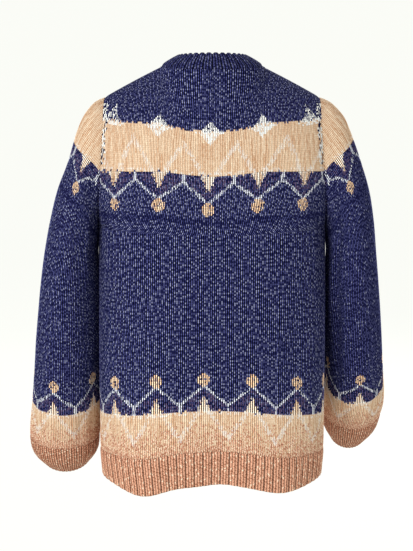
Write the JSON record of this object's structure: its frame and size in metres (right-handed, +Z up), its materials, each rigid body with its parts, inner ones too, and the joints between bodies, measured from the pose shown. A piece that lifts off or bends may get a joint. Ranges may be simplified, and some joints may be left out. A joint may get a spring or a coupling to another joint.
{
  "type": "crewneck sweater",
  "caption": "Hollow worn crewneck sweater with long sleeves, patterned yoke and hem bands, and ribbed neckband, cuffs and hem.",
  "frame": {"origin": "midway between the two points where the shoulder seams meet the neckband, where the wearer's shoulders carry the garment", "axes": "+Z up along the body, +Y out of the back, +X towards the wearer's left"},
  "size_m": [0.594, 0.2862, 0.6909],
  "materials": {
    "navy_knit": "soft marled plain knit",
    "navy_rib": "soft marled rib",
    "peach_rib": "soft marled rib"
  },
  "bodies": {
    "root": {"back_panel": "navy_knit", "front_panel": "navy_knit", "left_sleeve": "navy_knit", "right_sleeve": "navy_knit", "neckband": "navy_rib", "back_hem_rib": "peach_rib", "front_hem_rib": "peach_rib", "left_cuff": "peach_rib", "right_cuff": "peach_rib"}
  },
  "joints": []
}
